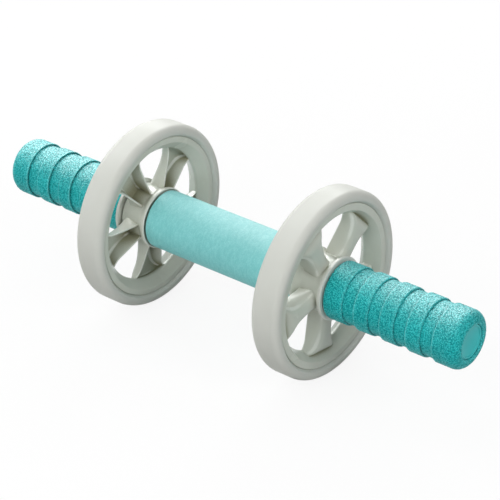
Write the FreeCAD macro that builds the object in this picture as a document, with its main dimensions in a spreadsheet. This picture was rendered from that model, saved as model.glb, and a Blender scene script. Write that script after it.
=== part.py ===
import FreeCAD, Part
import math
import os
import Sketcher

# An ab wheel roller: two wheels that spin freely on one long axle tube, with a foam sleeve between them
# and a foam grip outside each.
# Frame: the origin is the middle of the axle, +X runs along the axle and +Z is up. Millimetres.
# Every piece of one side is drawn from its wheel's middle plane, with +X of the piece pointing outwards
# to the handle. The left side is the same set of pieces, turned round by half a turn about Z.

doc = FreeCAD.newDocument("ab_wheel_roller")

SIZES = {
    # whole
    "overall_length": 408.0,
    "wheel_diameter": 140.0,
    "wheel_spacing": 160.0,
    # fits
    "running_clearance": 0.05,
    "press_clearance": 0.02,
    "foam_clearance": 0.1,
    "end_float": 0.05,
    # axle
    "axle_diameter": 22.0,
    "axle_wall": 1.5,
    # tyre
    "tyre_width": 23.0,
    "tyre_thickness": 8.5,
    "tyre_shoulder": 5.0,
    "tyre_bead_rise": 1.2,
    "tyre_bead_round": 1.5,
    "tyre_joint_bevel": 0.5,
    # rim
    "rim_width": 19.0,
    "rim_inner_lip_depth": 4.5,
    "rim_outer_lip_depth": 5.5,
    "rim_ridge_depth": 11.5,
    "rim_ridge_offset": 2.0,
    "rim_ridge_round": 4.0,
    "rim_lip_round": 0.8,
    # hub
    "hub_wall": 4.2,
    "hub_ring_step": 2.6,
    "hub_ring_width": 2.6,
    "hub_ring_wall": 1.0,
    "hub_cone_length": 4.0,
    "hub_inner_end": 13.2,
    "hub_outer_end": 9.4,
    "hub_recess_depth": 2.0,
    "hub_edge_round": 0.4,
    # bushes
    "bush_wall": 2.5,
    "bush_length": 8.0,
    "bush_flange_step": 2.5,
    "bush_flange_thickness": 1.5,
    "bush_flange_clearance": 0.4,
    # spokes
    "spoke_count": 5,
    "spoke_face": 8.0,
    "spoke_waist_width": 12.0,
    "spoke_waist_share": 0.32,
    "spoke_rim_flare_share": 0.3,
    "spoke_flare_end": 1.25,
    "spoke_hub_flare": 1.4,
    "spoke_mouth_at_hub": 12.8,
    "spoke_mouth_at_rim_share": 0.56,
    "spoke_edge_at_hub": 6.3,
    "spoke_edge_at_rim": 1.5,
    "spoke_wall": 1.8,
    "spoke_face_wall": 2.0,
    "spoke_corner_round": 4.2,
    "left_wheel_turn": 31.7,
    "right_wheel_turn": 27.5,
    # thrust washers
    "washer_step": 1.0,
    "inner_washer_thickness": 1.0,
    "outer_washer_thickness": 2.0,
    # centre
    "spacer_wall": 3.0,
    "sleeve_foam": 7.8,
    "sleeve_inset": 0.3,
    "sleeve_end_round": 0.8,
    # handles
    "core_wall": 1.7,
    "core_flange_diameter": 47.0,
    "core_flange_thickness": 2.6,
    "core_flange_round": 0.6,
    "grip_foam": 8.6,
    "grip_seat_gap": 0.9,
    "grip_inner_round": 1.5,
    "grip_end_share": 0.88,
    "channel_count": 4,
    "channel_first_share": 0.146,
    "channel_pitch_share": 0.196,
    "channel_width_share": 0.088,
    "channel_depth": 1.5,
    # end plugs
    "plug_recess": 1.2,
    "plug_head_gap": 0.3,
    "plug_head_thickness": 3.0,
    "plug_head_round": 0.6,
    "plug_spigot_length": 16.0,
    # spring pins
    "pin_diameter": 4.0,
    "pin_wall": 0.8,
    "pin_share": 0.42,
    "pin_shortfall": 0.4,
}

sheet = doc.addObject("Spreadsheet::Sheet", "Dims")
for row, (alias, value) in enumerate(SIZES.items(), 1):
    sheet.set(f"A{row}", alias)
    sheet.set(f"B{row}", str(value))
    sheet.setAlias(f"B{row}", alias)
doc.recompute()


def size(alias):
    return float(sheet.get(alias))


def plane(body, role):
    return next(feature for feature in body.Origin.OriginFeatures if feature.Role == role)


def sketch_on(body, role, name):
    sketch = body.newObject("Sketcher::SketchObject", name)
    sketch.AttachmentSupport = (plane(body, role), [""])
    sketch.MapMode = "FlatFace"
    return sketch


def value_of(expression):
    return float(sheet.evalExpression(expression))


# A closed outline of straight lines whose corners are held by expressions.
def outline(sketch, corners):
    points = [FreeCAD.Vector(value_of(along), value_of(out), 0) for along, out in corners]
    count = len(points)
    for number, start in enumerate(points):
        sketch.addGeometry(Part.LineSegment(start, points[(number + 1) % count]), False)
    for number in range(count):
        sketch.addConstraint(Sketcher.Constraint("Coincident", number, 2, (number + 1) % count, 1))
    for number, (along, out) in enumerate(corners):
        hold(sketch, "DistanceX", number, along, points[number].x)
        if out == "0":
            sketch.addConstraint(Sketcher.Constraint("PointOnObject", number, 1, -1))
        else:
            hold(sketch, "DistanceY", number, out, points[number].y)


def hold(sketch, kind, line, expression, value):
    index = sketch.addConstraint(Sketcher.Constraint(kind, -1, 1, line, 1, value))
    sketch.setExpression(f"Constraints[{index}]", expression)


# A piece turned about the axle: its corners are pairs of distance along the axle and radius, and rounds
# names the corners that are rounded, each with its radius.
def turned(label, corners, rounds=()):
    body = doc.addObject("PartDesign::Body", label)
    body.Label = label
    sketch = sketch_on(body, "XY_Plane", label + "_outline")
    outline(sketch, corners)
    turn = body.newObject("PartDesign::Revolution", label + "_turn")
    turn.Profile = sketch
    turn.ReferenceAxis = (sketch, ["H_Axis"])
    turn.Angle = 360.0
    for radius, numbers in rounds:
        round_circles(body, radius, [corners[number] for number in numbers])
    return body


def round_circles(body, radius, corners):
    doc.recompute()
    base = body.Tip
    wanted = [(value_of(along), value_of(out)) for along, out in corners]
    names = []
    for number, edge in enumerate(base.Shape.Edges, 1):
        curve = edge.Curve
        if not isinstance(curve, Part.Circle):
            continue
        if any(abs(curve.Center.x - along) < 1e-4 and abs(curve.Radius - out) < 1e-4 for along, out in wanted):
            names.append(f"Edge{number}")
    rounding = body.newObject("PartDesign::Fillet", body.Name + "_round")
    rounding.Base = (base, names)
    rounding.setExpression("Radius", radius)
    body.Tip = rounding


# A hole across the axle, straight through the piece along Z.
def cross_hole(body, places, diameter):
    sketch = sketch_on(body, "XY_Plane", body.Name + "_hole_outline")
    for number, place in enumerate(places):
        centre = FreeCAD.Vector(value_of(place), 0, 0)
        sketch.addGeometry(Part.Circle(centre, FreeCAD.Vector(0, 0, 1), value_of(diameter) / 2), False)
        index = sketch.addConstraint(Sketcher.Constraint("Diameter", number, value_of(diameter)))
        sketch.setExpression(f"Constraints[{index}]", diameter)
        sketch.addConstraint(Sketcher.Constraint("PointOnObject", number, 3, -1))
        index = sketch.addConstraint(Sketcher.Constraint("DistanceX", -1, 1, number, 3, centre.x))
        sketch.setExpression(f"Constraints[{index}]", place)
    doc.recompute()
    hole = body.newObject("PartDesign::Pocket", body.Name + "_hole")
    hole.Profile = sketch
    hole.Type = "ThroughAll"
    hole.Midplane = True
    body.Tip = hole


SIDES = {"left": -1, "right": 1}


# Stands a side's piece at its wheel's middle plane, turned outwards, and spun about the axle.
def stand(piece, side, spin=0.0):
    outwards = FreeCAD.Rotation(FreeCAD.Vector(0, 0, 1), 0 if SIDES[side] > 0 else 180)
    about_axle = FreeCAD.Rotation(FreeCAD.Vector(1, 0, 0), spin)
    base = FreeCAD.Vector(SIDES[side] * size("wheel_spacing") / 2, 0, 0)
    piece.Placement = FreeCAD.Placement(base, about_axle.multiply(outwards))
    piece.setExpression("Placement.Base.x", f"{SIDES[side]} * Dims.wheel_spacing / 2")


# Places along one side, measured outwards from the wheel's middle plane.
HANDLE_END = "(Dims.overall_length - Dims.wheel_spacing) / 2"
PLUG_SEAT = f"({HANDLE_END} - Dims.plug_recess - Dims.plug_head_thickness)"
OUTER_SEAT = "(Dims.hub_outer_end - Dims.hub_recess_depth)"
INNER_SEAT = "(Dims.hub_recess_depth - Dims.hub_inner_end)"
OUTER_WASHER = f"({OUTER_SEAT} + Dims.bush_flange_thickness + Dims.end_float)"
INNER_WASHER = f"({INNER_SEAT} - Dims.bush_flange_thickness - Dims.end_float)"
FLANGE = f"({OUTER_WASHER} + Dims.outer_washer_thickness + Dims.end_float)"
SPACER_END = f"({INNER_WASHER} - Dims.inner_washer_thickness - Dims.end_float)"
GRIP_START = f"({FLANGE} + Dims.core_flange_thickness + Dims.grip_seat_gap)"
GRIP_LENGTH = f"({HANDLE_END} - {GRIP_START})"
PIN_PLACE = f"({GRIP_START} + Dims.pin_share * {GRIP_LENGTH})"

# Radii that several pieces share.
AXLE_OUT = "Dims.axle_diameter / 2"
AXLE_IN = "(Dims.axle_diameter / 2 - Dims.axle_wall)"
ON_AXLE = "(Dims.axle_diameter / 2 + Dims.press_clearance)"
RIDES_AXLE = "(Dims.axle_diameter / 2 + Dims.running_clearance)"
BUSH_OUT = "(Dims.axle_diameter / 2 + Dims.bush_wall)"
BUSH_FLANGE = f"({BUSH_OUT} + Dims.bush_flange_step)"
HUB_RECESS = f"({BUSH_FLANGE} + Dims.bush_flange_clearance)"
HUB_OUT = f"({HUB_RECESS} + Dims.hub_wall)"
SPACER_OUT = "(Dims.axle_diameter / 2 + Dims.spacer_wall)"
CORE_OUT = "(Dims.axle_diameter / 2 + Dims.core_wall)"
RIM_OUT = "(Dims.wheel_diameter / 2 - Dims.tyre_thickness)"
RIM_RIDGE = f"({RIM_OUT} - Dims.rim_ridge_depth)"


def axle_tube():
    end = f"(Dims.wheel_spacing / 2 + {PLUG_SEAT})"
    corners = [(f"-{end}", AXLE_IN), (end, AXLE_IN), (end, AXLE_OUT), (f"-{end}", AXLE_OUT)]
    tube = turned("axle_tube", corners)
    pin = f"(Dims.wheel_spacing / 2 + {PIN_PLACE})"
    cross_hole(tube, [f"-{pin}", pin], "Dims.pin_diameter + 2 * Dims.press_clearance")
    return tube


def centre_spacer():
    end = f"(Dims.wheel_spacing / 2 + {SPACER_END})"
    corners = [(f"-{end}", ON_AXLE), (end, ON_AXLE), (end, SPACER_OUT), (f"-{end}", SPACER_OUT)]
    return turned("centre_spacer", corners)


def centre_sleeve():
    end = f"(Dims.wheel_spacing / 2 + {SPACER_END} - Dims.sleeve_inset)"
    bore = f"({SPACER_OUT} + Dims.foam_clearance)"
    out = f"({bore} + Dims.sleeve_foam)"
    corners = [(f"-{end}", bore), (end, bore), (end, out), (f"-{end}", out)]
    return turned("centre_sleeve", corners, [("Dims.sleeve_end_round", (2, 3))])


def tyre(side):
    wide = "Dims.tyre_width / 2"
    seat = "(Dims.rim_width / 2 - Dims.tyre_joint_bevel)"
    bore = f"({RIM_OUT} + Dims.press_clearance)"
    bevel = f"({bore} + Dims.tyre_joint_bevel)"
    bead = f"({bevel} + Dims.tyre_bead_rise)"
    tread = "Dims.wheel_diameter / 2"
    half = [(seat, bore), ("Dims.rim_width / 2", bevel), (wide, bead), (wide, tread)]
    mirrored = [(f"-{along}", out) for along, out in reversed(half)]
    rounds = [("Dims.tyre_shoulder", (3, 4)), ("Dims.tyre_bead_round", (2, 5))]
    piece = turned(f"{side}_tyre", half + mirrored, rounds)
    stand(piece, side)
    return piece


# The rim is thickest at a ridge a little inside the middle plane and slopes away to both lips.
def rim_form(side):
    edge = "Dims.rim_width / 2"
    seat = "(Dims.rim_width / 2 - Dims.tyre_joint_bevel)"
    bevel = f"({RIM_OUT} - Dims.tyre_joint_bevel)"
    corners = [
        (f"-{seat}", RIM_OUT),
        (f"-{edge}", bevel),
        (f"-{edge}", f"({RIM_OUT} - Dims.rim_inner_lip_depth)"),
        ("-Dims.rim_ridge_offset", RIM_RIDGE),
        (edge, f"({RIM_OUT} - Dims.rim_outer_lip_depth)"),
        (edge, bevel),
        (seat, RIM_OUT),
    ]
    rounds = [("Dims.rim_ridge_round", (3,)), ("Dims.rim_lip_round", (2, 4))]
    return turned(f"{side}_rim_form", corners, rounds)


# The hub ends in a thin wide ring on its inner side, and has a seat for a flanged bush at each end.
def hub_form(side):
    bore = f"({BUSH_OUT} + Dims.press_clearance)"
    ring = f"({HUB_OUT} + Dims.hub_ring_step)"
    ring_in = f"({ring} - Dims.hub_ring_wall)"
    ring_back = "(Dims.hub_ring_width - Dims.hub_inner_end)"
    corners = [
        (INNER_SEAT, bore),
        (INNER_SEAT, ring_in),
        ("-Dims.hub_inner_end", ring_in),
        ("-Dims.hub_inner_end", ring),
        (ring_back, ring),
        (f"({ring_back} + Dims.hub_cone_length)", HUB_OUT),
        ("Dims.hub_outer_end", HUB_OUT),
        ("Dims.hub_outer_end", HUB_RECESS),
        (OUTER_SEAT, HUB_RECESS),
        (OUTER_SEAT, bore),
    ]
    return turned(f"{side}_hub_form", corners, [("Dims.hub_edge_round", (3, 4, 6))])


# Half the width of a spoke's closed outer face: narrow at the waist, flaring to the rim and to the hub, and
# straight inside the rim.
def face_half_width(radius):
    half = size("spoke_waist_width") / 2
    waist = size("spoke_waist_share")
    if share(radius) < waist:
        return half + size("spoke_hub_flare") * (1 - share(radius) / waist) ** 2
    flare = size("spoke_rim_flare_share") * value_of(RIM_RIDGE)
    rise = (share(radius) - waist) / (1 - waist)
    return half + flare * min(rise, size("spoke_flare_end")) ** 3


# The place between hub and rim ridge, from 0 to 1.
def share(radius):
    hub = value_of(HUB_OUT)
    return (radius - hub) / (value_of(RIM_RIDGE) - hub)


def blend(start, end, part):
    return start + (end - start) * part


def mouth_half_width(radius):
    at_rim = size("spoke_mouth_at_rim_share") * value_of(RIM_RIDGE)
    return blend(size("spoke_mouth_at_hub"), at_rim, share(radius)) / 2


def mouth_edge(radius):
    return -blend(size("spoke_edge_at_hub"), size("spoke_edge_at_rim"), share(radius))


# An arc that rounds the corner between two others.
def corner_arc(before, corner, after, radius):
    to_before = (before - corner).normalize()
    to_after = (after - corner).normalize()
    half_angle = to_before.getAngle(to_after) / 2
    middle = (to_before + to_after).normalize()
    reach = radius / math.tan(half_angle)
    centre = corner + middle * (radius / math.sin(half_angle))
    return Part.Arc(corner + to_before * reach, centre - middle * radius, corner + to_after * reach)


# One cross-section of a trough, at a radius: a flat outer face, round corners and two walls. The corners are
# less round where the walls lean far out.
def trough_section(radius, face, face_half, edge, edge_half, upright_round):
    depth = face - edge
    corner_round = upright_round * depth / math.hypot(depth, face_half - edge_half)
    points = [
        FreeCAD.Vector(edge, -edge_half, radius),
        FreeCAD.Vector(face, -face_half, radius),
        FreeCAD.Vector(face, face_half, radius),
        FreeCAD.Vector(edge, edge_half, radius),
    ]
    first = corner_arc(points[0], points[1], points[2], corner_round)
    second = corner_arc(points[1], points[2], points[3], corner_round)
    parts = [
        Part.LineSegment(points[0], first.StartPoint),
        first,
        Part.LineSegment(first.EndPoint, second.StartPoint),
        second,
        Part.LineSegment(second.EndPoint, points[3]),
        Part.LineSegment(points[3], points[0]),
    ]
    return Part.Wire([part.toShape() for part in parts])


def outer_section(radius):
    half = face_half_width(radius)
    mouth = mouth_half_width(radius)
    return trough_section(radius, size("spoke_face"), half, mouth_edge(radius), mouth, size("spoke_corner_round"))


# The hollow runs past the open edges, so that it cuts the trough open.
def hollow_section(radius):
    wall = size("spoke_wall")
    face_wall = size("spoke_face_wall")
    depth = size("spoke_face") - mouth_edge(radius)
    lean = (mouth_half_width(radius) - face_half_width(radius)) / depth
    inset = wall * math.hypot(1, lean)
    past = wall
    floor_half = face_half_width(radius) + lean * face_wall - inset
    mouth_half = mouth_half_width(radius) + lean * past - inset
    floor = size("spoke_face") - face_wall
    return trough_section(radius, floor, floor_half, mouth_edge(radius) - past, mouth_half, wall)


SECTION_COUNT = 8


def stations(start, end):
    return [blend(start, end, number / (SECTION_COUNT - 1)) for number in range(SECTION_COUNT)]


# The five hollow spokes, each a round-cornered trough that is open towards the middle of the axle.
def spokes_form(side):
    hub = value_of(HUB_OUT)
    rim = value_of(RIM_OUT)
    ridge = value_of(RIM_RIDGE)
    wall = size("spoke_wall")
    solid = Part.makeLoft([outer_section(r) for r in stations(hub - wall, rim - wall)], True, False)
    hollow = Part.makeLoft([hollow_section(r) for r in stations(hub + wall / 4, ridge + wall)], True, False)
    keep = Part.makeCylinder(rim - wall, size("tyre_width"), FreeCAD.Vector(-size("tyre_width") / 2, 0, 0),
                             FreeCAD.Vector(1, 0, 0))
    spoke = solid.cut(hollow).common(keep)
    count = int(size("spoke_count"))
    ring = []
    for number in range(count):
        copy = spoke.copy()
        copy.rotate(FreeCAD.Vector(0, 0, 0), FreeCAD.Vector(1, 0, 0), 360 * number / count)
        ring.append(copy)
    form = doc.addObject("Part::Feature", f"{side}_spokes_form")
    form.Shape = ring[0].multiFuse(ring[1:])
    return form


def wheel_core(side):
    forms = [hub_form(side), spokes_form(side), rim_form(side)]
    for form in forms:
        stand(form, side, size(f"{side}_wheel_turn"))
    core = doc.addObject("Part::MultiFuse", f"{side}_wheel_core")
    core.Label = f"{side}_wheel_core"
    core.Shapes = forms
    return core


# A flanged bush: flange on the hub's seat, barrel into the hub.
def bush(side, place):
    inwards = 1 if place == "inner" else -1
    seat = INNER_SEAT if place == "inner" else OUTER_SEAT
    tip = f"({seat} + {inwards} * Dims.bush_length)"
    face = f"({seat} - {inwards} * Dims.bush_flange_thickness)"
    barrel = [(seat, BUSH_OUT), (tip, BUSH_OUT), (tip, RIDES_AXLE)]
    corners = [(face, RIDES_AXLE), (face, BUSH_FLANGE), (seat, BUSH_FLANGE)] + barrel
    piece = turned(f"{side}_{place}_bush", corners)
    stand(piece, side)
    return piece


def washer(side, place):
    out = f"({BUSH_FLANGE} - Dims.washer_step)"
    near = OUTER_WASHER
    far = f"({OUTER_WASHER} + Dims.outer_washer_thickness)"
    if place == "inner":
        near = INNER_WASHER
        far = f"({INNER_WASHER} - Dims.inner_washer_thickness)"
    piece = turned(f"{side}_{place}_washer", [(near, ON_AXLE), (near, out), (far, out), (far, ON_AXLE)])
    stand(piece, side)
    return piece


# The handle core is a thin tube with a flange beside the hub.
def handle_core(side):
    flange = "Dims.core_flange_diameter / 2"
    back = f"({FLANGE} + Dims.core_flange_thickness)"
    tube = [(back, CORE_OUT), (PLUG_SEAT, CORE_OUT), (PLUG_SEAT, ON_AXLE)]
    corners = [(FLANGE, ON_AXLE), (FLANGE, flange), (back, flange)] + tube
    piece = turned(f"{side}_handle_core", corners, [("Dims.core_flange_round", (1, 2))])
    cross_hole(piece, [PIN_PLACE], "Dims.pin_diameter + 2 * Dims.press_clearance")
    stand(piece, side)
    return piece


# The foam grip: raised bands between shallow channels, and a round outer end.
def grip(side):
    bore = f"({CORE_OUT} + Dims.foam_clearance)"
    band = f"({bore} + Dims.grip_foam)"
    floor = f"({band} - Dims.channel_depth)"
    corners = [(GRIP_START, bore), (GRIP_START, band)]
    for number in range(int(size("channel_count"))):
        along = f"(Dims.channel_first_share + {number} * Dims.channel_pitch_share)"
        start = f"({GRIP_START} + {along} * {GRIP_LENGTH})"
        end = f"({start} + Dims.channel_width_share * {GRIP_LENGTH})"
        corners += [(start, band), (start, floor), (end, floor), (end, band)]
    corners += [(HANDLE_END, band), (HANDLE_END, bore)]
    end_round = "Dims.grip_end_share * Dims.grip_foam"
    rounds = [(end_round, (len(corners) - 2,)), ("Dims.grip_inner_round", (1,))]
    piece = turned(f"{side}_grip", corners, rounds)
    stand(piece, side)
    return piece


def end_plug(side):
    face = f"({HANDLE_END} - Dims.plug_recess)"
    tip = f"({PLUG_SEAT} - Dims.plug_spigot_length)"
    head = f"({CORE_OUT} + Dims.foam_clearance - Dims.plug_head_gap)"
    spigot = f"({AXLE_IN} - Dims.press_clearance)"
    corners = [(tip, "0"), (tip, spigot), (PLUG_SEAT, spigot), (PLUG_SEAT, head), (face, head), (face, "0")]
    piece = turned(f"{side}_end_plug", corners, [("Dims.plug_head_round", (4,))])
    stand(piece, side)
    return piece


# A spring pin through the handle core and the axle tube, just short of the core's outside.
def roll_pin(side):
    label = f"{side}_roll_pin"
    length = f"(2 * {CORE_OUT} - 2 * Dims.pin_shortfall)"
    outside = doc.addObject("Part::Cylinder", label + "_outside")
    inside = doc.addObject("Part::Cylinder", label + "_inside")
    outside.setExpression("Radius", "Dims.pin_diameter / 2")
    inside.setExpression("Radius", "Dims.pin_diameter / 2 - Dims.pin_wall")
    for form in (outside, inside):
        form.setExpression("Height", length)
        form.setExpression("Placement.Base.x", PIN_PLACE)
        form.setExpression("Placement.Base.z", f"-{length} / 2")
    pin = doc.addObject("Part::Cut", label)
    pin.Label = label
    pin.Base = outside
    pin.Tool = inside
    stand(pin, side)
    return pin


pieces = [axle_tube(), centre_spacer(), centre_sleeve()]
for side in SIDES:
    pieces += [wheel_core(side), tyre(side)]
    pieces += [handle_core(side), grip(side), end_plug(side), roll_pin(side)]
    for place in ("inner", "outer"):
        pieces += [bush(side, place), washer(side, place)]
doc.recompute()

for thing in doc.Objects:
    if "Invalid" in thing.State or "Error" in thing.State:
        raise RuntimeError(f"{thing.Label} failed: {thing.State}")
for piece in pieces:
    if piece.Shape.isNull() or not piece.Shape.isValid() or len(piece.Shape.Solids) != 1:
        raise RuntimeError(f"{piece.Label} is not one valid solid")

os.makedirs("parts", exist_ok=True)
for piece in pieces:
    piece.Shape.exportStep(f"parts/{piece.Label}.step")
    box = piece.Shape.BoundBox
    print(f"{piece.Label}: {piece.Shape.Volume / 1000:.2f} cm3, x {box.XMin:.1f} to {box.XMax:.1f}")
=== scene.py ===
import bpy
import bmesh
import math
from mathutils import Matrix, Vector


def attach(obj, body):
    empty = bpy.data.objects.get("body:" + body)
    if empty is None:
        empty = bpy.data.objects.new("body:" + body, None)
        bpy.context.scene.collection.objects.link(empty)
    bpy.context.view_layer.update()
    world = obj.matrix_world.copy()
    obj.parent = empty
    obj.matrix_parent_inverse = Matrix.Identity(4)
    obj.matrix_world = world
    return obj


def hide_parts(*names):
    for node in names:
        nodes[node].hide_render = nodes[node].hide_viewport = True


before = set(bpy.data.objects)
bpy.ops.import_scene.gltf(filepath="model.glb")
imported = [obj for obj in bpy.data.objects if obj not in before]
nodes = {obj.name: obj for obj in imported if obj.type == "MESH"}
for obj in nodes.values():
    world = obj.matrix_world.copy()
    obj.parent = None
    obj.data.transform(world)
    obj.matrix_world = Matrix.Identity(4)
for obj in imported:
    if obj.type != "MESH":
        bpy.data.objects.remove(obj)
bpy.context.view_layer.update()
mm = 0.001
tiny = 1e-6  # metres, points closer than this are one point
print("frame loaded:", len(nodes), "nodes")

wheelPlane = 80  # mm from the middle of the axle to a wheel's middle plane


# shader maths: a wire is one output socket, and sums of wires add Math nodes
class Wire:
    def __init__(self, tree, socket=None):
        self.tree = tree
        self.socket = socket

    def node(self, kind, settings, inputs, out=0):
        made = self.tree.nodes.new(kind)
        for key, value in settings.items():
            setattr(made, key, value)
        for key, value in inputs.items():
            if isinstance(value, Wire):
                self.tree.links.new(value.socket, made.inputs[key])
            else:
                made.inputs[key].default_value = value
        return Wire(self.tree, made.outputs[out])

    def maths(self, operation, first, second):
        return self.node("ShaderNodeMath", {"operation": operation}, {0: first, 1: second})

    def __add__(self, other):
        return self.maths("ADD", self, other)

    def __radd__(self, other):
        return self.maths("ADD", other, self)

    def __sub__(self, other):
        return self.maths("SUBTRACT", self, other)

    def __rsub__(self, other):
        return self.maths("SUBTRACT", other, self)

    def __mul__(self, other):
        return self.maths("MULTIPLY", self, other)

    def __rmul__(self, other):
        return self.maths("MULTIPLY", other, self)

    def mix(self, low, high):
        # a colour between two, by this wire
        settings = {"data_type": "RGBA", "clamp_factor": True}
        return self.node("ShaderNodeMix", settings, {0: self, 6: low, 7: high}, out=2)

    def between(self, low, high):
        # 0 below low, 1 above high
        settings = {"interpolation_type": "SMOOTHSTEP"}
        return self.node("ShaderNodeMapRange", settings, {"Value": self, "From Min": low, "From Max": high})


def newFinish(name):
    material = bpy.data.materials.new(name)
    material.use_nodes = True
    shader = material.node_tree.nodes["Principled BSDF"]
    paint = Wire(material.node_tree)
    place = paint.node("ShaderNodeTexCoord", {}, {}, out="Object")
    return material, shader, paint, place


def plug(shader, **values):
    for key, value in values.items():
        socket = shader.inputs[key.replace("_", " ")]
        if isinstance(value, Wire):
            value.tree.links.new(value.socket, socket)
        else:
            socket.default_value = value


def noise(paint, place, scale, detail, out=0):
    return paint.node("ShaderNodeTexNoise", {}, {"Vector": place, "Scale": scale, "Detail": detail}, out)


def bump(paint, height, strength, distance):
    return paint.node("ShaderNodeBump", {}, {"Height": height, "Strength": strength, "Distance": distance})


# camera, as the photograph was taken, in degrees and mm
view = {
    "azimuth": 38.437, "elevation": 30.228, "distance": 1537.5, "right": 11.0, "up": -2.45, "roll": 0.12,
    "lens": 154.2, "sensor": 36,
}


def addCamera():
    azimuth = math.radians(view["azimuth"])
    elevation = math.radians(view["elevation"])
    level = math.cos(elevation)
    back = Vector((math.sin(azimuth) * level, -math.cos(azimuth) * level, math.sin(elevation)))
    right = Vector((math.cos(azimuth), math.sin(azimuth), 0))
    up = back.cross(right)
    spot = (back * view["distance"] + right * view["right"] + up * view["up"]) * mm
    bpy.ops.object.camera_add(location=spot, rotation=(math.pi / 2 - elevation, 0, azimuth))
    camera = bpy.context.object
    camera.rotation_euler.rotate_axis("Z", math.radians(view["roll"]))
    camera.data.lens = view["lens"]
    camera.data.sensor_width = view["sensor"]
    bpy.context.scene.camera = camera


addCamera()
print("camera set")


# modelling helpers
def pickOnly(piece):
    bpy.ops.object.select_all(action="DESELECT")
    piece.select_set(True)
    bpy.context.view_layer.objects.active = piece


def pickWhere(piece, kind, test):
    # in edit mode, picks the points or edges that pass a test
    bpy.ops.mesh.select_mode(type=kind)
    bpy.ops.mesh.select_all(action="DESELECT")
    mesh = bmesh.from_edit_mesh(piece.data)
    picked = [part for part in (mesh.verts if kind == "VERT" else mesh.edges) if test(part)]
    for part in picked:
        part.select_set(True)
    bmesh.update_edit_mesh(piece.data)
    return len(picked)


def drawOutline(name, corners, closed=True, segments=0):
    # an outline through (x, y, z, rounding) corners in mm
    places = [Vector(corner[:3]) * mm for corner in corners]
    bpy.ops.object.select_all(action="DESELECT")
    bpy.ops.mesh.primitive_plane_add(size=mm, location=places[0])
    piece = bpy.context.object
    piece.name = name
    bpy.ops.object.transform_apply(location=True, rotation=True, scale=True)
    bpy.ops.object.mode_set(mode="EDIT")
    bpy.ops.mesh.select_mode(type="VERT")
    bpy.ops.mesh.select_all(action="SELECT")
    bpy.ops.mesh.merge(type="CENTER")
    for here, there in zip(places, places[1:] + (places[:1] if closed else [])):
        bpy.ops.mesh.extrude_region_move(TRANSFORM_OT_translate={"value": there - here})
    bpy.ops.mesh.select_all(action="SELECT")
    bpy.ops.mesh.remove_doubles(threshold=tiny)
    for place, corner in zip(places, corners):
        rounding = corner[3]
        if rounding:
            pickWhere(piece, "VERT", lambda point: (point.co - place).length < tiny)
            steps = segments or 4 + round(rounding * 2)  # a larger rounding has more steps
            bpy.ops.mesh.bevel(offset=rounding * mm, segments=steps, affect="VERTICES")
    return piece


def spinRing(name, corners, steps, pitch=6, bore=0):
    # an outline of (along, radius, rounding) corners spun about the axle, open where it starts on the axle;
    # no edge outside the bore is longer than the pitch
    outline = [(along, 0, radius, rounding) for along, radius, rounding in corners]
    piece = drawOutline(name, outline, closed=corners[0][1] > 0)
    aboveBore = (bore + 0.1) * mm

    def isLong(edge):
        return edge.calc_length() > pitch * mm and min(point.co.z for point in edge.verts) > aboveBore

    while pickWhere(piece, "EDGE", isLong):
        bpy.ops.mesh.subdivide(number_cuts=1)
    bpy.ops.mesh.select_all(action="SELECT")
    bpy.ops.mesh.spin(steps=steps, angle=2 * math.pi, center=(0, 0, 0), axis=(1, 0, 0))
    bpy.ops.mesh.select_all(action="SELECT")
    bpy.ops.mesh.remove_doubles(threshold=tiny)
    bpy.ops.mesh.normals_make_consistent(inside=False)
    bpy.ops.object.mode_set(mode="OBJECT")
    return piece


def joinPieces(pieces):
    pickOnly(pieces[0])
    for piece in pieces[1:]:
        piece.select_set(True)
    bpy.ops.object.join()
    return pieces[0]


def useModifier(piece, kind, settings):
    pickOnly(piece)
    modifier = piece.modifiers.new(kind.lower(), kind)
    for key, value in settings.items():
        setattr(modifier, key, value)
    bpy.ops.object.modifier_apply(modifier=modifier.name)


def bothSides(piece, turns):
    # one copy at each wheel: the left one is turned round, and each is turned about the axle
    made = {}
    for side, way in (("left", -1), ("right", 1)):
        pickOnly(piece)
        bpy.ops.object.duplicate(linked=False)
        copy = bpy.context.object
        copy.name = side + "_" + piece.name
        copy.location.x = way * wheelPlane * mm
        copy.rotation_euler = (way * math.radians(turns[side]), 0, 0 if way > 0 else math.pi)
        bpy.ops.object.transform_apply(location=True, rotation=True, scale=True)
        made[side] = copy
    bpy.data.objects.remove(piece)
    return made


def finishPiece(piece, material, body, node, angle=35):
    pickOnly(piece)
    bpy.ops.object.shade_smooth_by_angle(angle=math.radians(angle))
    piece.data.materials.clear()
    piece.data.materials.append(material)
    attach(piece, body)
    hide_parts(node)


still = {"left": 0, "right": 0}


# finishes
def nearby(paint, reach, inside):
    # how much of the piece itself stands close by, outside it in its hollows or inside it at its edges
    settings = {"samples": 8, "only_local": True, "inside": inside}
    return 1 - paint.node("ShaderNodeAmbientOcclusion", settings, {"Distance": reach * mm}, out="AO")


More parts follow.
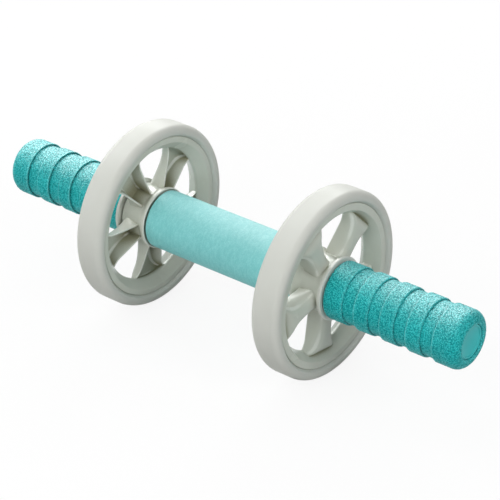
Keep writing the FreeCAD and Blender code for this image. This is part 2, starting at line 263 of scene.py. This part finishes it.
# foam: beads with darker pores between them, with a painted highlight at the edges and painted shade in the creases
foam = {
    "wobble": 0.8, "bend": 0.6, "crown": (0.05, 0.45), "crownShare": 0.4, "pore": (0.3, 0.75), "poreShare": 0.68,
    "patchScale": 45, "patch": (0.3, 0.7), "patchShare": 0.2,
    "rippleScale": 260, "rippleRun": (2.2, 1, 1), "ripple": (0.35, 0.65), "rippleLift": 2, "relief": 0.6,
    # the edge settings paint a highlight on convex edges, the crease settings paint shade into the creases
    "close": (0.2, 0.36), "edgeHighlightReach": 2.2, "edgeHighlightShare": 0.65, "paintedEdgeHighlight": (0.25, 0.88, 0.88, 1),
    "creaseShadeReach": 3.2, "creaseShadeShare": 0.95, "paintedCreaseShade": (0, 0.1, 0.11, 1),
}
gripLook = {
    "base": (0.01, 0.55, 0.56, 1), "pale": (0.12, 0.83, 0.84, 1), "deep": (0, 0.19, 0.2, 1),
    "grain": 1000, "lift": 1, "waves": 0, "haze": 0.56,
}
sleeveLook = {
    "base": (0.27, 0.69, 0.69, 1), "pale": (0.35, 0.75, 0.75, 1), "deep": (0.2, 0.6, 0.6, 1),
    "grain": 1500, "lift": 0.25, "waves": 0.8, "haze": 0.82,
}


def softFoam(name, base, pale, deep, grain, lift, waves, haze):
    material, shader, paint, place = newFinish(name)
    wobble = noise(paint, place, grain * foam["wobble"], 1, out="Color")
    bent = wobble.node("ShaderNodeVectorMath", {"operation": "SCALE"}, {0: wobble, "Scale": foam["bend"] / grain})
    spot = bent.node("ShaderNodeVectorMath", {"operation": "ADD"}, {0: place, 1: bent})
    cells = {"Vector": spot, "Scale": grain}
    bead = paint.node("ShaderNodeTexVoronoi", {"feature": "F1"}, cells, out="Distance")
    pore = bead.between(*foam["pore"])
    crown = 1 - bead.between(*foam["crown"])
    patch = noise(paint, place, foam["patchScale"], 2).between(*foam["patch"])
    along = place.node("ShaderNodeVectorMath", {"operation": "MULTIPLY"}, {0: place, 1: foam["rippleRun"]})
    ripple = noise(paint, along, foam["rippleScale"], 3).between(*foam["ripple"])
    # edge: painted highlight along the convex edges of the bands and beads
    edge = nearby(paint, foam["edgeHighlightReach"], True).between(*foam["close"])
    # painted shade, dark teal, in the creases and the corners of the channels
    creaseShadeMask = nearby(paint, foam["creaseShadeReach"], False).between(*foam["close"])
    colour = (foam["patchShare"] * patch + waves * ripple).mix(base, deep)
    colour = (foam["crownShare"] * crown).mix(colour, pale)
    colour = (foam["poreShare"] * pore).mix(colour, deep)
    colour = (foam["edgeHighlightShare"] * edge).mix(colour, foam["paintedEdgeHighlight"])
    colour = (foam["creaseShadeShare"] * creaseShadeMask).mix(colour, foam["paintedCreaseShade"])
    height = foam["rippleLift"] * waves * ripple - bead
    plug(shader, Base_Color=colour, Roughness=0.5 + 0.2 * pore, Specular_IOR_Level=0.1)
    plug(shader, Normal=bump(paint, height, lift, foam["relief"] * mm))
    plug(shader, Coat_Weight=1 - 0.8 * pore, Coat_Roughness=haze, Coat_IOR=1.35)
    plug(shader, Sheen_Weight=0.1, Sheen_Roughness=0.3, Sheen_Tint=(0.95, 1, 1, 1))
    return material


# plastic and rubber: faint clouds and flecks, and for the wheels painted shade in the hollows and painted highlights on
# the edges
mould = {
    "cloudScale": 28, "cloud": (0.3, 0.7), "cloudShare": 0.5, "fleckScale": 900, "fleckLift": 0.06, "relief": 0.2,
    # the hollow settings paint shade into the hollows, the edge settings paint a highlight on thin edges
    "hollowReach": 18, "hollow": (0.25, 0.7), "hollowShare": 0.75,
    "edgeHighlightReach": 1.1, "edge": (0.12, 0.42), "edgeHighlightShare": 0.9,
}
tyreLook = {"base": (0.63, 0.645, 0.6, 1), "shade": (0.58, 0.595, 0.545, 1), "rough": 0.45, "specular": 0.07}
# for the wheels, the last two colours are painted shade in the hollows and a painted highlight on the edges
wheelLook = {
    "base": (0.615, 0.645, 0.575, 1), "shade": (0.555, 0.58, 0.5, 1), "rough": 0.2, "specular": 0.18,
    "hollowPaint": (0.25, 0.24, 0.125, 1), "paintedEdgeHighlight": (0.8, 0.82, 0.76, 1),
}
plugLook = {"base": (0.07, 0.56, 0.57, 1), "shade": (0.05, 0.5, 0.51, 1), "rough": 0.3, "specular": 0.2}
coreLook = {"base": (0.66, 0.68, 0.63, 1), "shade": (0.6, 0.62, 0.57, 1), "rough": 0.28}
nylonLook = {"base": (0.7, 0.69, 0.64, 1), "shade": (0.63, 0.62, 0.57, 1), "rough": 0.4}
steelLook = {"base": (0.55, 0.56, 0.57, 1), "shade": (0.42, 0.43, 0.44, 1), "rough": 0.28, "metal": 1}


def mouldedPlastic(name, base, shade, rough, specular=0.5, metal=0, hollowPaint=None, paintedEdgeHighlight=None):
    material, shader, paint, place = newFinish(name)
    cloud = noise(paint, place, mould["cloudScale"], 3).between(*mould["cloud"])
    fleck = noise(paint, place, mould["fleckScale"], 2)
    colour = (mould["cloudShare"] * cloud).mix(base, shade)
    if hollowPaint:
        # painted shade, dark olive, in the hollows of the spokes
        hollow = nearby(paint, mould["hollowReach"], False).between(*mould["hollow"])
        # painted highlight along the thin wall edges and roundings
        edge = nearby(paint, mould["edgeHighlightReach"], True).between(*mould["edge"])
        colour = (mould["hollowShare"] * hollow).mix(colour, hollowPaint)
        colour = (mould["edgeHighlightShare"] * edge).mix(colour, paintedEdgeHighlight)
    plug(shader, Base_Color=colour, Roughness=rough + 0.08 * cloud, Specular_IOR_Level=specular, Metallic=metal)
    plug(shader, Normal=bump(paint, fleck, mould["fleckLift"], mould["relief"] * mm))
    return material


gripFoam = softFoam("grip_foam", **gripLook)
sleeveFoam = softFoam("sleeve_foam", **sleeveLook)
tyreRubber = mouldedPlastic("tyre_rubber", **tyreLook)
wheelPlastic = mouldedPlastic("wheel_plastic", **wheelLook)
plugPlastic = mouldedPlastic("plug_plastic", **plugLook)
corePlastic = mouldedPlastic("core_plastic", **coreLook)
bushNylon = mouldedPlastic("bush_nylon", **nylonLook)
drawnSteel = mouldedPlastic("drawn_steel", **steelLook)
print("finishes mixed")


# tyres
tyre = {
    "half": 11.5, "seat": 8.6, "lip": 9.5, "tread": 70, "bead": 63.22, "joint": 61.52,
    "lipRise": 0.5, "lipRound": 0.2, "shoulder": 5, "beadRound": 0.85, "steps": 192,
}


def makeTyres():
    side = [
        (tyre["seat"], tyre["joint"], 0),
        (tyre["lip"], tyre["joint"] + tyre["lipRise"], tyre["lipRound"]),
        (tyre["half"], tyre["bead"], tyre["beadRound"]),
        (tyre["half"], tyre["tread"], tyre["shoulder"]),
    ]
    corners = side + [(-along, radius, rounding) for along, radius, rounding in reversed(side)]
    ring = spinRing("tyre_ring", corners, tyre["steps"])
    for side, piece in bothSides(ring, still).items():
        finishPiece(piece, tyreRubber, side + "_wheel", side + "_tyre")


makeTyres()
print("tyres spun")

# foam grips, from the wheel's middle plane outwards
grip = {
    "start": 14.5, "end": 124, "bore": 12.8, "band": 21.4, "floor": 19.9, "startRound": 1.5, "endRound": 7.57, "lip": 1,
    "beads": 1, "grain": 0.38, "steps": 288, "pitch": 0.48,
}
channels = {
    "first": 30.49, "pitch": 21.46, "width": 9.64, "count": 4, "edge": 0.9, "floorRound": 0.4,
    "crest": 0.14, "crestRound": 0.6, "crestRun": 2,
}
sleeve = {
    "half": 65.9, "bore": 14.1, "outside": 21.9, "endRound": 0.8,
    "beads": 0.8, "grain": 0.12, "steps": 256, "pitch": 0.55,
}
smoothFoam = 80  # degrees, the grain is shaded smooth


def roughen(piece, size, depth):
    # real grain, pushed in and out by cells of a size in mm
    cells = bpy.data.textures.new(piece.name + "_cells", type="VORONOI")
    cells.noise_scale = size * mm
    settings = {"texture": cells, "texture_coords": "LOCAL", "strength": depth * mm, "mid_level": 0.5}
    useModifier(piece, "DISPLACE", settings)


def makeGrips():
    band, floor = grip["band"], grip["floor"]
    corners = [(grip["start"], grip["bore"], 0), (grip["start"], band, grip["startRound"])]
    for number in range(channels["count"]):
        near = channels["first"] + number * channels["pitch"]
        far = near + channels["width"]
        corners += [(near, band, channels["edge"]), (near, floor, channels["floorRound"])]
        corners += [(far, floor, channels["floorRound"]), (far, band + channels["crest"], channels["crestRound"])]
        corners += [(far + channels["crestRun"], band, channels["edge"])]
    corners += [(grip["end"], band, grip["endRound"]), (grip["end"], grip["bore"], grip["lip"])]
    ring = spinRing("foam_grip", corners, grip["steps"], grip["pitch"], grip["bore"])
    for side, piece in bothSides(ring, still).items():
        roughen(piece, grip["beads"], grip["grain"])
        finishPiece(piece, gripFoam, "axle", side + "_grip", smoothFoam)


def makeSleeve():
    half, outside = sleeve["half"], sleeve["outside"]
    corners = [(-half, sleeve["bore"], 0), (-half, outside, sleeve["endRound"])]
    corners += [(half, outside, sleeve["endRound"]), (half, sleeve["bore"], 0)]
    ring = spinRing("foam_sleeve", corners, sleeve["steps"], sleeve["pitch"], sleeve["bore"])
    roughen(ring, sleeve["beads"], sleeve["grain"])
    finishPiece(ring, sleeveFoam, "axle", "centre_sleeve", smoothFoam)


makeGrips()
makeSleeve()
print("foam fitted")

# end plugs: a shallow dish set back in the foam
endPlug = {
    "face": 122.8, "radius": 12.5, "head": 3, "faceRound": 0.5, "spigot": 16, "spigotRadius": 9.48, "spigotRound": 0.6,
    "lip": 1.2, "lipRound": 0.35, "step": 1.1, "stepLean": 0.4, "dish": 2.2, "steps": 128,
    "bowlRings": (1, 0.85, 0.7, 0.55, 0.4, 0.25, 0.12, 0),
}


def makePlugs():
    face, radius = endPlug["face"], endPlug["radius"]
    under = face - endPlug["head"]
    corners = [
        (under - endPlug["spigot"], 0, 0),
        (under - endPlug["spigot"], endPlug["spigotRadius"], endPlug["spigotRound"]),
        (under, endPlug["spigotRadius"], 0),
        (under, radius, 0),
        (face, radius, endPlug["faceRound"]),
        (face, radius - endPlug["lip"], endPlug["lipRound"]),
    ]
    bowl = radius - endPlug["lip"] - endPlug["stepLean"]
    for share in endPlug["bowlRings"]:
        depth = endPlug["step"] + endPlug["dish"] * (1 - share ** 2)
        corners.append((face - depth, bowl * share, 0))
    cap = spinRing("end_cap", corners, endPlug["steps"])
    for side, piece in bothSides(cap, still).items():
        finishPiece(piece, plugPlastic, "axle", side + "_end_plug")


makePlugs()
print("plugs set")

# wheel mouldings: hub, five hollow spokes and rim, with the open side of the spokes towards the middle
wheel = {
    "spokes": 5, "turn": {"left": 31.7, "right": 27.5}, "hub": 20.6, "ridge": 50,
    "rimSteps": 180, "hubSteps": 120, "pitch": 20,
}
hubCorners = [
    (-11.2, 13.52, 0), (-11.2, 22.2, 0), (-13.2, 22.2, 0.25), (-13.2, 23.2, 0.3), (-10.6, 23.2, 0.4),
    (-6.6, 20.6, 1.5), (9.4, 20.6, 0.4), (9.4, 16.4, 0.2), (7.4, 16.4, 0), (7.4, 13.52, 0),
]
rimCorners = [
    (-8.6, 61.5, 0), (-9.5, 61, 0.15), (-9.5, 57, 0.6), (-2, 50, 2.2),
    (9.5, 56, 0.6), (9.5, 61, 0.15), (8.6, 61.5, 0),
]
trough = {
    "face": 8, "faceWall": 2, "faceRound": 5.4, "wall": 1.4, "wallRound": 0.3, "floorRound": 1.8, "roundSteps": 6,
    "edgeAtHub": -6.3, "edgeRise": 4.8, "mouth": 6.6, "mouthRise": 7.2, "mouthFlare": 4.2, "flareFrom": 0.7,
    "waist": 6.6, "waistAt": 0.3, "hubFlare": 1.6, "rimFlare": 8, "rimPower": 2.6, "lastPart": 1.06,
    "endFrom": 44.5, "endLength": 8, "endDrop": 7,
}
stations = [
    18.9, 20.6, 22.4, 24.5, 27, 30, 33, 36, 39, 41.5, 43.5, 45.2, 46.8, 48.2, 49.4, 50.4, 51.2, 51.8, 52.2, 52.5, 54,
]


def drawSection(radius):
    # one cross-section of a spoke, a thin-walled channel whose face turns in at the rim
    part = min((radius - wheel["hub"]) / (wheel["ridge"] - wheel["hub"]), trough["lastPart"])
    flare = max(0, part - trough["flareFrom"]) / (1 - trough["flareFrom"])
    mouth = trough["mouth"] + trough["mouthRise"] * part + trough["mouthFlare"] * flare ** 2
    narrow = max(0, 1 - part / trough["waistAt"])
    widen = max(0, part - trough["waistAt"]) / (1 - trough["waistAt"])
    half = trough["waist"] + trough["hubFlare"] * narrow ** 2 + trough["rimFlare"] * widen ** trough["rimPower"]
    ending = min(max(0, radius - trough["endFrom"]) / trough["endLength"], 1)
    face = trough["face"] - trough["endDrop"] * (1 - math.sqrt(1 - ending ** 2))
    edge = trough["edgeAtHub"] + trough["edgeRise"] * part
    lean = (mouth - half) / (face - edge)
    thick = trough["wall"] * math.hypot(1, lean)
    floor = face - trough["faceWall"]
    floorHalf = half + lean * trough["faceWall"] - thick
    # the roundings shrink with the section, where it runs out at the rim
    wallRound = min(trough["wallRound"], 0.4 * (floor - edge))
    faceRound = min(trough["faceRound"], 0.75 * half, 0.7 * (face - edge))
    floorRound = min(trough["floorRound"], 0.6 * (floor - edge))
    side = [(edge, mouth - thick, wallRound), (edge, mouth, wallRound), (face, half, faceRound)]
    across = [(along, -out, rounding) for along, out, rounding in reversed(side)]
    inside = [(floor, -floorHalf, floorRound), (floor, floorHalf, floorRound)]
    corners = [(along, out, radius, rounding) for along, out, rounding in side + across + inside]
    section = drawOutline("section", corners, segments=trough["roundSteps"])
    bpy.ops.object.mode_set(mode="OBJECT")
    return section


def makeWheels():
    channel = joinPieces([drawSection(radius) for radius in stations])
    bpy.ops.object.mode_set(mode="EDIT")
    bpy.ops.mesh.select_all(action="SELECT")
    bpy.ops.mesh.bridge_edge_loops()
    bpy.ops.mesh.select_all(action="SELECT")
    bpy.ops.mesh.fill_holes(sides=0)
    bpy.ops.mesh.select_all(action="SELECT")
    bpy.ops.mesh.normals_make_consistent(inside=False)
    bpy.ops.object.mode_set(mode="OBJECT")
    print("spoke faces:", len(channel.data.polygons))
    spokes = [channel]
    for number in range(1, wheel["spokes"]):
        pickOnly(channel)
        bpy.ops.object.duplicate(linked=False)
        copy = bpy.context.object
        copy.rotation_euler.x = number * 2 * math.pi / wheel["spokes"]
        bpy.ops.object.transform_apply(location=True, rotation=True, scale=True)
        spokes.append(copy)
    spokes = joinPieces(spokes)
    rim = spinRing("wheel_moulding", rimCorners, wheel["rimSteps"], wheel["pitch"])
    hub = spinRing("hub", hubCorners, wheel["hubSteps"], wheel["pitch"])
    core = joinPieces([rim, hub])
    useModifier(core, "BOOLEAN", {"operation": "UNION", "solver": "EXACT", "object": spokes})
    bpy.data.objects.remove(spokes)
    print("wheel faces:", len(core.data.polygons))
    for side, piece in bothSides(core, wheel["turn"]).items():
        finishPiece(piece, wheelPlastic, side + "_wheel", side + "_wheel_core")


makeWheels()
print("wheels moulded")


# solids that stay as they are, under the foam and in the hubs
def finishNodes():
    for name, node in nodes.items():
        if "axle_tube" in name or "pin" in name:
            material = drawnSteel
        elif "bush" in name or "washer" in name:
            material = bushNylon
        else:
            material = corePlastic
        node.data.materials.clear()
        node.data.materials.append(material)


finishNodes()
print("solids finished")

# floor, light and background
studio = {
    "floor": 4, "paint": 0.45, "seenPaint": 0.13, "glow": 0.87, "fade": (0.3, 0.9), "world": 0.22, "reach": 1.7,
}
# spread: the lamp lights surfaces; mirrored: it shows in their gloss
lamps = {
    "key": {"toward": (-0.5, 0, 0.85), "size": 1.8, "watts": 7, "spread": True, "mirrored": True},
    "veil": {"toward": (-0.5, 0.3, 0.75), "size": 2.4, "watts": 260, "spread": False, "mirrored": True},
    "back": {"toward": (-0.3, 0.85, 0.4), "size": 1.2, "watts": 13, "spread": True, "mirrored": False},
    "side": {"toward": (0.85, -0.1, 0.5), "size": 0.8, "watts": 8.5, "spread": True, "mirrored": True},
    "front": {"toward": (0.1, -0.85, 0.45), "size": 1.2, "watts": 15, "spread": True, "mirrored": False},
    "left": {"toward": (-0.9, -0.15, 0.4), "size": 1, "watts": 7.5, "spread": True, "mirrored": False},
}


def seenPlain(paint):
    # 1 for the rays that show the background: straight to the camera, in a gloss or through glass
    kinds = ("Camera", "Glossy", "Transmission")
    camera, gloss, glass = [paint.node("ShaderNodeLightPath", {}, {}, out="Is " + kind + " Ray") for kind in kinds]
    return paint.maths("MAXIMUM", camera, paint.maths("MAXIMUM", gloss, glass))


def grey(level):
    return (level, level, level, 1)


def layFloor():
    bpy.ops.object.select_all(action="DESELECT")
    bpy.ops.mesh.primitive_plane_add(size=studio["floor"], location=(0, 0, -tyre["tread"] * mm))
    floor = bpy.context.object
    floor.name = "studio_floor"
    material, shader, paint, place = newFinish("studio_floor")
    floor.data.materials.append(material)
    plug(shader, Base_Color=grey(studio["paint"]), Roughness=1, Specular_IOR_Level=0)
    lit = paint.node("ShaderNodeBsdfDiffuse", {}, {"Color": grey(studio["seenPaint"])})
    glow = paint.node("ShaderNodeEmission", {}, {"Strength": studio["glow"]})
    shown = paint.node("ShaderNodeAddShader", {}, {0: lit, 1: glow})
    plain = Wire(paint.tree, shader.outputs[0])
    distance = place.node("ShaderNodeVectorMath", {"operation": "LENGTH"}, {0: place}, out="Value")
    far = distance.between(*studio["fade"])  # the floor turns white away from the object
    white = paint.node("ShaderNodeEmission", {}, {"Strength": 1})
    shown = paint.node("ShaderNodeMixShader", {}, {0: far, 1: shown, 2: white})
    both = paint.node("ShaderNodeMixShader", {}, {0: seenPlain(paint), 1: plain, 2: shown})
    paint.tree.links.new(both.socket, paint.tree.nodes["Material Output"].inputs["Surface"])


def hangLights():
    world = bpy.data.worlds.new("studio")
    bpy.context.scene.world = world
    world.use_nodes = True
    paint = Wire(world.node_tree)
    background = world.node_tree.nodes["Background"]
    strength = studio["world"] + (1 - studio["world"]) * seenPlain(paint)
    plug(background, Color=grey(1), Strength=strength)
    for name, lamp in lamps.items():
        toward = Vector(lamp["toward"]).normalized()
        turn = toward.to_track_quat("Z", "Y").to_euler()
        bpy.ops.object.light_add(type="AREA", location=toward * studio["reach"], rotation=turn)
        light = bpy.context.object
        light.name = name + "_lamp"
        light.data.energy = lamp["watts"]
        light.data.size = lamp["size"]
        light.visible_diffuse = lamp["spread"]
        light.visible_glossy = lamp["mirrored"]


layFloor()
hangLights()
bpy.context.scene.view_settings.view_transform = "Standard"
print("studio lit")
